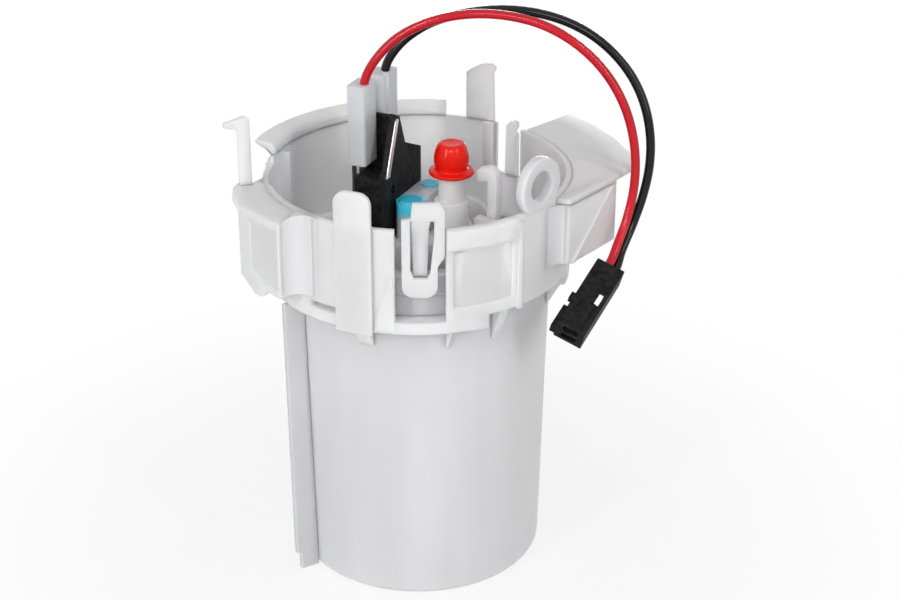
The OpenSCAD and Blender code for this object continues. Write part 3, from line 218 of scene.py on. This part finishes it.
def metal(name, light, dark, rough=(0.25, 0.4), streak=(1, 1, 1)):
    """Bare metal, with fine lines drawn out along the axis where streak is small."""
    m, nt, bsdf = new_material(name)
    lines = noise(nt, 400.0, 3.0, 0.6, stretched(nt, streak))
    nt.links.new(ramp(nt, lines, [(0.3, dark), (0.7, light)]), bsdf.inputs["Base Color"])
    nt.links.new(spread(nt, lines, *rough), bsdf.inputs["Roughness"])
    bsdf.inputs["Metallic"].default_value = 1.0
    bump(nt, bsdf, lines, 0.08, 0.0003)
    return m


def tinted_plug():
    m, nt, bsdf = new_material("tinted_plug")
    tint = ramp(nt, noise(nt, 200.0, 2.0), [(0.3, (0.05, 0.66, 0.99)), (0.7, (0.09, 0.74, 1.0))])
    nt.links.new(tint, bsdf.inputs["Base Color"])
    bsdf.inputs["Roughness"].default_value = 0.08
    bsdf.inputs["IOR"].default_value = 1.45
    bsdf.inputs["Transmission Weight"].default_value = 0.04
    return m


def tinted_bridge(centre, near, far):
    """Pale nylon that takes the tint of the plug inside its rounded front end."""
    m, nt, bsdf = new_material("bridge_moulding")
    cloud = ramp(nt, noise(nt, 60.0, 2.5, 0.55), [(0.35, (0.66, 0.69, 0.74)), (0.65, (0.76, 0.78, 0.82))])
    gap = nt.nodes.new("ShaderNodeVectorMath")
    gap.operation = "DISTANCE"
    gap.inputs[1].default_value = centre
    nt.links.new(object_coords(nt), gap.inputs[0])
    share = fade(nt, gap.outputs["Value"], near, far, 1.0, 0.0)
    nt.links.new(mixed(nt, share, cloud, (0.07, 0.74, 1.0)), bsdf.inputs["Base Color"])
    moulded_finish(nt, bsdf, (0.2, 0.32), 0.04)
    bsdf.inputs["Subsurface Weight"].default_value = 0.5
    bsdf.inputs["Subsurface Scale"].default_value = 0.002
    return m


NATURAL = plastic("natural_moulding", (0.855, 0.855, 0.865), (0.80, 0.80, 0.81), (0.3, 0.42),
                  scatter=1.0, grain=0.04, patch=22.0, reach=0.0045)
# Darker than the pot's plastic: painted shade, which tones down the guide fin where the left lamp lights it
FIN_PAINTED_SHADE = plastic("fin_moulding_painted_shade", (0.63, 0.63, 0.65), (0.585, 0.585, 0.605), (0.36, 0.48),
               scatter=0.9, grain=0.05, patch=22.0)
# Darker than the natural moulding: painted shade for the lifting eye, whose top and front the lamps light
EYE_PAINTED_SHADE = plastic("eye_moulding_painted_shade", (0.745, 0.745, 0.76), (0.70, 0.70, 0.715), (0.28, 0.4),
               scatter=1.0, grain=0.04, patch=22.0, reach=0.003)
# The pot's colour darkens towards its top as painted shade for the shadow under the crown's shelf
POT = plastic("pot_moulding", (0.79, 0.79, 0.805), (0.715, 0.715, 0.735), (0.3, 0.42),
              scatter=0.9, grain=0.05, patch=42.0, flow=6.0, painted_shade=(0.072, 0.104, 0.78))
FILL = plastic("fill_moulding", (0.73, 0.73, 0.74), (0.69, 0.69, 0.70), (0.3, 0.42), grain=0.04, patch=22.0)
# Whiter than the natural moulding: painted light, which lifts these parts out of the shade that they sit in
WHITE_PAINTED_LIGHT = plastic("white_moulding_painted_light", (0.97, 0.97, 0.965), (0.93, 0.93, 0.925), (0.42, 0.55),
                scatter=0.9, grain=0.04, patch=40.0, reach=0.003)
PALE = plastic("pale_moulding", (0.88, 0.90, 0.93), (0.82, 0.845, 0.88), (0.34, 0.46),
               scatter=1.0, grain=0.04, patch=60.0, reach=0.002, clear=0.3)
BLACK = plastic("black_moulding", (0.018, 0.018, 0.019), (0.004, 0.004, 0.004), (0.4, 0.62),
                grain=0.4, patch=600.0, specular=0.12)
CAP = plastic("red_cap", (0.98, 0.016, 0.005), (0.88, 0.011, 0.004), (0.14, 0.22),
              scatter=0.1, radius=(1.0, 0.15, 0.1), grain=0.02, patch=60.0, reach=0.002, specular=0.2)
WIRE_RED = plastic("red_insulation", (0.60, 0.004, 0.016), (0.50, 0.003, 0.012), (0.1, 0.14),
                   grain=0.002, patch=60.0, specular=0.35)
WIRE_BLACK = plastic("black_insulation", (0.006, 0.007, 0.008), (0.003, 0.0035, 0.004), (0.1, 0.14),
                     grain=0.002, patch=60.0, specular=0.3)
RUBBER = plastic("rubber", (0.03, 0.03, 0.03), (0.02, 0.02, 0.02), (0.55, 0.7), grain=0.2, patch=80.0)
PHENOLIC = plastic("phenolic", (0.2, 0.13, 0.08), (0.14, 0.09, 0.055), (0.4, 0.5))
CARBON = plastic("carbon", (0.06, 0.06, 0.06), (0.04, 0.04, 0.04), (0.5, 0.6))
MAGNET = plastic("magnet", (0.1, 0.1, 0.105), (0.07, 0.07, 0.075), (0.45, 0.6))
CLOTH = plastic("strainer_cloth", (0.72, 0.71, 0.66), (0.6, 0.59, 0.55), (0.7, 0.85), grain=0.5, patch=300.0)
STEEL = metal("steel", (0.66, 0.66, 0.68), (0.5, 0.5, 0.52), (0.25, 0.38), (1, 1, 0.05))
TIN = metal("tinned_metal", (0.92, 0.92, 0.92), (0.70, 0.70, 0.70), (0.34, 0.52), (1, 1, 0.1))
COPPER = metal("copper", (0.78, 0.36, 0.2), (0.55, 0.24, 0.13), (0.3, 0.45), (1, 1, 0.1))
BRONZE = metal("bronze", (0.55, 0.4, 0.2), (0.4, 0.29, 0.15), (0.4, 0.55))
LAMINATION = metal("laminations", (0.4, 0.41, 0.43), (0.24, 0.25, 0.27), (0.4, 0.5), (0.05, 0.05, 6))
TINT = tinted_plug()

# Middle of the bridge's front end, and how far from it the tint is full and gone
TINT_CENTRE = (-0.0025, 0.0012, 0.1142)
TINT_FULL, TINT_GONE = 0.0038, 0.0062
BRIDGE = tinted_bridge(TINT_CENTRE, TINT_FULL, TINT_GONE)

LOOK = {}
for group, material in (
    ("swirl_pot", POT),
    ("guide_fin", FIN_PAINTED_SHADE),
    ("lifting_eye", EYE_PAINTED_SHADE),
    ("upper_collar front_left_tab left_chamber left_hook_post right_chamber right_chamber_lid rear_tall_tab "
     "rear_slide_rail rear_snap_post rear_rim_tab rear_flared_lip pump_carrier front_latch carrier_hook "
     "strainer_frame foot_valve_cage", NATURAL),
    ("pump_end_cover outlet_spring_stop", WHITE_PAINTED_LIGHT),
    ("pump_plug", PALE),
    ("valve_bridge", BRIDGE),
    ("connector_housing outlet_check_valve pump_chamber inlet_cover harness_connector", BLACK),
    ("rubber_sleeve foot_valve", RUBBER),
    ("pump_shell armature_shaft relief_valve relief_spring outlet_check_spring brush_spring_front "
     "brush_spring_rear", STEEL),
    ("terminal_blades plug_contacts connector_pins", TIN),
    ("armature_windings commutator", COPPER),
    ("upper_bearing lower_bearing", BRONZE),
    ("armature_core", LAMINATION),
    ("field_magnets", MAGNET),
    ("brush_front brush_rear", CARBON),
    ("impeller", PHENOLIC),
    ("strainer_sock", CLOTH),
    ("relief_plug bleed_plug", TINT),
    ("outlet_cap", CAP),
    ("wire_red", WIRE_RED),
    ("wire_black", WIRE_BLACK),
):
    for n in group.split():
        LOOK[n] = material

for name, obj in NODES.items():
    for s in obj.material_slots:
        s.material = LOOK[name]


# Pieces and the nodes that they stand for

def new_piece(name, data, material):
    obj = bpy.data.objects.new(name, data)
    scene.collection.objects.link(obj)
    data.materials.clear()
    data.materials.append(material)
    return obj


def node_body(name):
    return next(b for b, members in frame["record"]["behaviour"]["bodies"].items() if name in members)


def stand_for(obj, node):
    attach(obj, node_body(node))
    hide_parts(node)


def closed_mesh(bm, name):
    """The bmesh as a mesh, with its faces turned outwards."""
    bmesh.ops.recalc_face_normals(bm, faces=bm.faces)
    mesh = bpy.data.meshes.new(name)
    bm.to_mesh(mesh)
    bm.free()
    return mesh


def split_sharp_edges(obj, angle):
    sharp = obj.modifiers.new("flat_faces", "EDGE_SPLIT")
    sharp.split_angle = math.radians(angle)


# The two wires, in millimetres

WIRE_RADIUS = 1.35
# Direction in which a wire leaves the pale plug
EXIT_WAY = Vector((0.15, 0, 1)).normalized()
# The free connector's place and turn, and how high over it a wire comes straight and ends
SOCKET_AT = Vector((56.4, -19.8, 101.8))
SOCKET_TURN = Euler([math.radians(a) for a in (-68, 20, -22)], "XYZ").to_matrix()
STRAIGHT_FROM, WIRE_END = 4, 0.02
RED_ROUTE = [
    (-15.4, 3.1, 152.02), (-12.4, 3, 158.8), (-6.2, 2.7, 165.7), (1.2, 1.9, 170.3), (9.5, 0.9, 173.2),
    (18.1, -0.1, 174.4), (26.9, -1.1, 174), (35.4, -1.9, 172), (43.3, -2.8, 168.2), (50.2, -3.7, 162.9),
    (55.9, -4.6, 156.3), (60.2, -5.4, 148.6), (62.9, -6.2, 140.3), (64.1, -6.9, 131.6), (63.8, -8.1, 123),
    (62, -10.1, 114.6), (59.1, -13.9, 107.7),
]
BLACK_ROUTE = [
    (-9.6, 14.1, 152.22), (-5.6, 14, 159.8), (1.5, 13.4, 165.8), (9.4, 11.9, 169.6),
    (17.7, 10, 171.9), (26.3, 8, 173), (34.9, 6.1, 172.6), (43.4, 4.3, 170.6), (51.2, 2.4, 166.9),
    (57.9, 0.5, 161.5), (63.2, -1.4, 154.7), (66.7, -3.2, 146.8), (68.4, -4.6, 138.1), (68.4, -5.5, 129.2),
    (66.8, -6.6, 120.5), (64, -8.4, 112.1), (60.6, -12.5, 105.1),
]
# Each wire's place across the connector
RED_ENTRY = (-1.1, -0.9)
BLACK_ENTRY = (1.1, 0.9)


def on_socket(p):
    """A place on the free connector, from millimetres in its own frame."""
    return SOCKET_AT + SOCKET_TURN @ Vector(p)


def make_wire(name, node, route, entry):
    pts = [Vector(p) for p in route] + [on_socket((*entry, STRAIGHT_FROM)), on_socket((*entry, WIRE_END))]
    data = bpy.data.curves.new(name, "CURVE")
    data.dimensions = "3D"
    data.bevel_depth = WIRE_RADIUS * MM
    data.bevel_resolution = 6
    data.resolution_u = 10
    data.use_fill_caps = True
    sp = data.splines.new("BEZIER")
    sp.bezier_points.add(len(pts) - 1)
    for i, p in enumerate(pts):
        b = sp.bezier_points[i]
        b.co = p * MM
        before, after = pts[max(i - 1, 0)], pts[min(i + 1, len(pts) - 1)]
        way = EXIT_WAY if i == 0 else (after - before).normalized()
        back, fore = (p - before).length / 3, (after - p).length / 3
        b.handle_left_type = b.handle_right_type = "FREE"
        b.handle_left = (p - way * (back or fore)) * MM
        b.handle_right = (p + way * (fore or back)) * MM
    obj = new_piece(name, data, LOOK[node])
    stand_for(obj, node)
    return obj


red = make_wire("lead_red", "wire_red", RED_ROUTE, RED_ENTRY)
black = make_wire("lead_black", "wire_black", BLACK_ROUTE, BLACK_ENTRY)


# Moulded parts with rounded edges, whose widths are in millimetres

ROUNDED = {
    "swirl_pot": 0.5, "guide_fin": 0.45, "upper_collar": 0.45, "front_left_tab": 0.45, "left_chamber": 0.6,
    "left_hook_post": 0.4, "right_chamber": 0.5, "right_chamber_lid": 1.0, "lifting_eye": 1.2,
    "rear_tall_tab": 0.3, "rear_slide_rail": 0.3, "rear_snap_post": 0.25, "rear_rim_tab": 0.35,
    "rear_flared_lip": 0.3, "pump_carrier": 0.3, "front_latch": 0.3, "carrier_hook": 0.35,
    "pump_end_cover": 0.3, "valve_bridge": 0.35, "connector_housing": 0.25, "pump_plug": 0.3,
    "harness_connector": 0.3, "pump_shell": 0.3,
}
ONE_MOULDING = (
    "swirl_pot guide_fin upper_collar front_left_tab left_chamber left_hook_post right_chamber "
    "right_chamber_lid lifting_eye rear_tall_tab rear_slide_rail rear_snap_post rear_rim_tab rear_flared_lip"
).split()
# Distance within which two pieces of the moulding count as joined
TOUCHING = 0.2 * MM
SAME_POINT = 2e-6
# In degrees: faces within the first angle become one, and edges over the second are rounded
FLAT_ANGLE = 0.6
EDGE_ANGLE = 32
# A face with more corners than this may be a flat ring
MANY_CORNERS = 60


def surface_tree(name):
    mesh = NODES[name].data
    return BVHTree.FromPolygons([v.co[:] for v in mesh.vertices], [p.vertices[:] for p in mesh.polygons])


TREES = {name: surface_tree(name) for name in ONE_MOULDING}


def joined_edge(name, edge):
    """True where an edge lies on a neighbour of the same moulding, so no groove is cut between the two."""
    if name not in TREES:
        return False
    ends = [v.co for v in edge.verts]
    places = ends + [(ends[0] + ends[1]) / 2]
    return any(
        all(tree.find_nearest(p, TOUCHING)[0] is not None for p in places)
        for other, tree in TREES.items() if other != name
    )


def opened(mesh, tool_mesh):
    """The mesh with the tool's volume taken out of it."""
    body, tool = bpy.data.objects.new("body", mesh), bpy.data.objects.new("tool", tool_mesh)
    for o in (body, tool):
        scene.collection.objects.link(o)
    cut = body.modifiers.new("cut", "BOOLEAN")
    cut.object = tool
    cut.operation = "DIFFERENCE"
    cut.solver = "EXACT"
    result = bpy.data.meshes.new_from_object(body.evaluated_get(bpy.context.evaluated_depsgraph_get()))
    for o in (body, tool):
        bpy.data.objects.remove(o)
    return result


# The free connector's locking window, which widens to the back: widths, depth and heights at each side
WINDOW_FRONT = (1.9, 3.0), -4.6, (-15.8, -12.2)
WINDOW_BACK = (0.6, 3.0), 4.4, (-15.8, -5.6)


def window_tool():
    bm = bmesh.new()
    corners = [
        bm.verts.new(on_socket((x, y, z)) * MM)
        for xs, y, zs in (WINDOW_FRONT, WINDOW_BACK) for x in xs for z in zs
    ]
    for face in ((0, 1, 3, 2), (4, 5, 7, 6), (0, 1, 5, 4), (2, 3, 7, 6), (0, 2, 6, 4), (1, 3, 7, 5)):
        bm.faces.new([corners[i] for i in face])
    return closed_mesh(bm, "window")


def soften(name, width):
    """A copy of a CAD node with its flat faces joined up and its edges rounded, which stands for it."""
    mesh = NODES[name].data.copy()
    if name == "harness_connector":
        mesh = opened(mesh, window_tool())
    mesh.name = name + "_moulded"
    bm = bmesh.new()
    bm.from_mesh(mesh)
    bmesh.ops.remove_doubles(bm, verts=bm.verts, dist=SAME_POINT)
    bmesh.ops.dissolve_limit(bm, angle_limit=math.radians(FLAT_ANGLE), verts=bm.verts, edges=bm.edges)
    # A flat ring that is one face would close over when its edges are rounded
    bmesh.ops.connect_verts_concave(bm, faces=[f for f in bm.faces if len(f.verts) > MANY_CORNERS])
    weight = bm.edges.layers.float.new("bevel_weight_edge")
    for f in bm.faces:
        f.smooth = True
    for e in bm.edges:
        e.smooth = True
        if len(e.link_faces) == 2 and e.calc_face_angle() > math.radians(EDGE_ANGLE):
            e[weight] = 0.0 if joined_edge(name, e) else 1.0
    bm.to_mesh(mesh)
    bm.free()
    obj = new_piece(name + "_moulded", mesh, LOOK[name])
    bevel = obj.modifiers.new("edges", "BEVEL")
    bevel.width = width * MM
    bevel.segments = 3
    bevel.limit_method = "WEIGHT"
    bevel.use_clamp_overlap = True
    bevel.harden_normals = True
    bevel.miter_outer = "MITER_ARC"
    split_sharp_edges(obj, 50)
    stand_for(obj, name)
    return obj


moulded = {name: soften(name, width) for name, width in ROUNDED.items()}


# The dust cap: a round flange, a waist above it, and a body that swells and closes in a soft shoulder

CAP_BORE = 3.65
CAP_PROFILE = [
    (CAP_BORE, 0), (6.5, 0), (6.8, 0.15), (6.9, 0.5), (6.8, 0.9), (6.5, 1.1), (5.3, 1.25), (4.85, 1.5),
    (4.75, 1.9), (4.95, 2.6), (5.25, 3.5), (5.35, 4.4), (5.28, 5.4), (5.05, 6.6), (4.75, 7.7), (4.4, 8.7),
    (4.1, 9.3), (3.7, 9.65), (3.2, 9.8), (2.8, 9.72), (0, 9.6), (0, 8.6), (CAP_BORE, 8.6),
]


def lathe(name, node, profile, steps=72):
    """A piece turned round the node's upright axis, from [radius, height] in mm over its lower face."""
    low, high = (Vector(c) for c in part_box(node))
    centre = (low + high) / 2
    bm = bmesh.new()

    def point(r, z, a):
        out, up = r * MM, z * MM
        return bm.verts.new((centre.x + out * math.cos(a), centre.y + out * math.sin(a), low.z + up))

    rings = [
        [point(r, z, 2 * math.pi * i / steps) for i in range(steps if r else 1)]
        for r, z in profile
    ]
    for below, above in zip(rings, rings[1:] + rings[:1]):
        if len(below) == len(above) == 1:
            continue
        for i in range(steps):
            j = (i + 1) % steps
            lower = [below[i % len(below)], below[j % len(below)]]
            upper = [above[j % len(above)], above[i % len(above)]]
            bm.faces.new(list(dict.fromkeys(lower + upper))).smooth = True
    obj = new_piece(name, closed_mesh(bm, name), LOOK[node])
    stand_for(obj, node)
    return obj


moulded["outlet_cap"] = lathe("outlet_cap_moulded", "outlet_cap", CAP_PROFILE)


# Concave fills in the corners where the side chambers meet the crown, in millimetres

# How far a fill's back lies inside the crown's wall and inside the chamber's
IN_CROWN = 0.3
IN_WALL = 0.25


def corner_fill(name, node, crease, wall_end, along, low, top_at_crown, top_drop, steps=14):
    """A fill that curves from wall_end past the crease to a place along the crown. Its top may fall."""
    radius = math.hypot(*crease)
    turn = math.atan2(crease[1], crease[0])
    start, bend = Vector(wall_end), Vector(crease)
    far = turn + along / radius
    end = Vector((radius * math.cos(far), radius * math.sin(far)))
    curve = []
    for i in range(steps + 1):
        t = i / steps
        curve.append(start * (1 - t) ** 2 + bend * 2 * t * (1 - t) + end * t ** 2)
    sunk = radius - IN_CROWN
    sweep = [turn + (far - turn) * (1 - i / steps) for i in range(steps + 1)]
    back = [Vector((sunk * math.cos(a), sunk * math.sin(a))) for a in sweep]
    side = (start - bend).normalized()
    inward = Vector((-side.y, side.x)) * math.copysign(IN_WALL, -along)
    outline = curve + back + [start + inward]
    bm = bmesh.new()
    bottom = [bm.verts.new((q.x * MM, q.y * MM, low * MM)) for q in outline]
    top = [
        bm.verts.new((q.x * MM, q.y * MM, (top_at_crown - top_drop * max(0.0, q.length - radius)) * MM))
        for q in outline
    ]
    for i in range(len(outline)):
        j = (i + 1) % len(outline)
        bm.faces.new((bottom[i], bottom[j], top[j], top[i])).smooth = i < steps
    for ring in (bottom, top):
        bm.faces.new(ring)
    bmesh.ops.triangulate(bm, faces=[f for f in bm.faces if len(f.verts) > 4])
    obj = new_piece(name, closed_mesh(bm, name), FILL)
    split_sharp_edges(obj, 30)
    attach(obj, node_body(node))


corner_fill("left_corner_fill", "left_chamber", crease=(-33.92, -31.08), wall_end=(-38.3, -36.25),
            along=8.5, low=101.35, top_at_crown=126.4, top_drop=0.27)
corner_fill("right_corner_fill", "right_chamber", crease=(40.2, -22.36), wall_end=(43.7, -23.55),
            along=-6.0, low=106.1, top_at_crown=124.6, top_drop=0.0)


# Springs of the joints, as smooth-shaded copies that stand for their nodes

def spring(name):
    mesh = NODES[name].data.copy()
    mesh.name = name + "_coil"
    for f in mesh.polygons:
        f.use_smooth = True
    obj = new_piece(name + "_coil", mesh, LOOK[name])
    stand_for(obj, name)
    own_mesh(obj)


for joint in frame["record"]["behaviour"]["joints"]:
    for change in joint.get("deforming_nodes", []):
        spring(change["node"])


# Stage and light, in metres and watts

FLOOR_SIZE = 8.0
# The floor lies just under the object's base
FLOOR_Z = -0.0002
FLOOR_COLOUR = (0.9, 0.9, 0.9)
# The floor turns from mostly plain white to all plain white between these distances from the object's middle
SHADOW_FULL, SHADOW_GONE = 0.05, 0.2
PLAIN_NEAR = 0.8
WORLD_LIGHT = 0.32
# Name, place, the point that it faces, its two sides and its power
LAMPS = (
    ("left_box", (-0.62, -0.74, 0.52), (0, 0, 0.08), (0.12, 0.6), 3.7),
    ("right_box", (0.66, -0.68, 0.52), (0, 0, 0.08), (0.12, 0.6), 2.5),
    ("front_box", (-0.05, -0.95, 0.6), (0, 0, 0.1), (0.45, 0.25), 2.4),
    ("top_box", (0.0, 0.1, 1.1), (0, 0, 0.1), (0.7, 0.5), 0.25),
    ("back_box", (0.1, 0.95, 0.05), (0, 0, 0.07), (0.6, 0.2), 3.2),
)


def background_rays(nt):
    """1 for the rays that see the background itself, and 0 for those that it lights."""
    path = nt.nodes.new("ShaderNodeLightPath")
    got = path.outputs["Is Camera Ray"]
    for name in ("Is Glossy Ray", "Is Transmission Ray"):
        m = nt.nodes.new("ShaderNodeMath")
        m.operation = "MAXIMUM"
        nt.links.new(got, m.inputs[0])
        nt.links.new(path.outputs[name], m.inputs[1])
        got = m.outputs[0]
    return got


def mix_shaders(nt, share, under, over, out):
    mix = nt.nodes.new("ShaderNodeMixShader")
    nt.links.new(share, mix.inputs[0])
    nt.links.new(under.outputs[0], mix.inputs[1])
    nt.links.new(over.outputs[0], mix.inputs[2])
    nt.links.new(mix.outputs[0], out.inputs["Surface"])


def stage_material():
    """White floor that keeps the object's shadow and runs out to plain white."""
    m = bpy.data.materials.new("stage_white")
    m.use_nodes = True
    nt = m.node_tree
    nt.nodes.clear()
    out = nt.nodes.new("ShaderNodeOutputMaterial")
    lit = nt.nodes.new("ShaderNodeBsdfDiffuse")
    lit.inputs["Color"].default_value = (*FLOOR_COLOUR, 1)
    plain = nt.nodes.new("ShaderNodeEmission")
    plain.inputs["Strength"].default_value = 1.0
    far = nt.nodes.new("ShaderNodeVectorMath")
    far.operation = "LENGTH"
    nt.links.new(object_coords(nt), far.inputs[0])
    share = nt.nodes.new("ShaderNodeMath")
    share.operation = "MULTIPLY"
    nt.links.new(background_rays(nt), share.inputs[0])
    nt.links.new(fade(nt, far.outputs["Value"], SHADOW_FULL, SHADOW_GONE, PLAIN_NEAR), share.inputs[1])
    mix_shaders(nt, share.outputs[0], lit, plain, out)
    return m


def make_floor():
    bm = bmesh.new()
    bmesh.ops.create_grid(bm, x_segments=1, y_segments=1, size=FLOOR_SIZE)
    floor = new_piece("floor", closed_mesh(bm, "floor"), stage_material())
    floor.location.z = FLOOR_Z


def make_world():
    world = bpy.data.worlds.new("world")
    scene.world = world
    world.use_nodes = True
    nt = world.node_tree
    nt.nodes.clear()
    out = nt.nodes.new("ShaderNodeOutputWorld")
    lit, seen = (nt.nodes.new("ShaderNodeBackground") for _ in range(2))
    for background, strength in ((lit, WORLD_LIGHT), (seen, 1.0)):
        background.inputs["Color"].default_value = (*WHITE, 1)
        background.inputs["Strength"].default_value = strength
    mix_shaders(nt, background_rays(nt), lit, seen, out)


def soft_box(name, place, aim, size, power):
    data = bpy.data.lights.new(name, "AREA")
    data.shape = "RECTANGLE"
    data.size, data.size_y = size
    data.energy = power
    obj = bpy.data.objects.new(name, data)
    obj.location = place
    obj.rotation_euler = (Vector(aim) - Vector(place)).to_track_quat("-Z", "Y").to_euler()
    scene.collection.objects.link(obj)


make_floor()
make_world()
for lamp in LAMPS:
    soft_box(*lamp)
scene.view_settings.view_transform = "Standard"
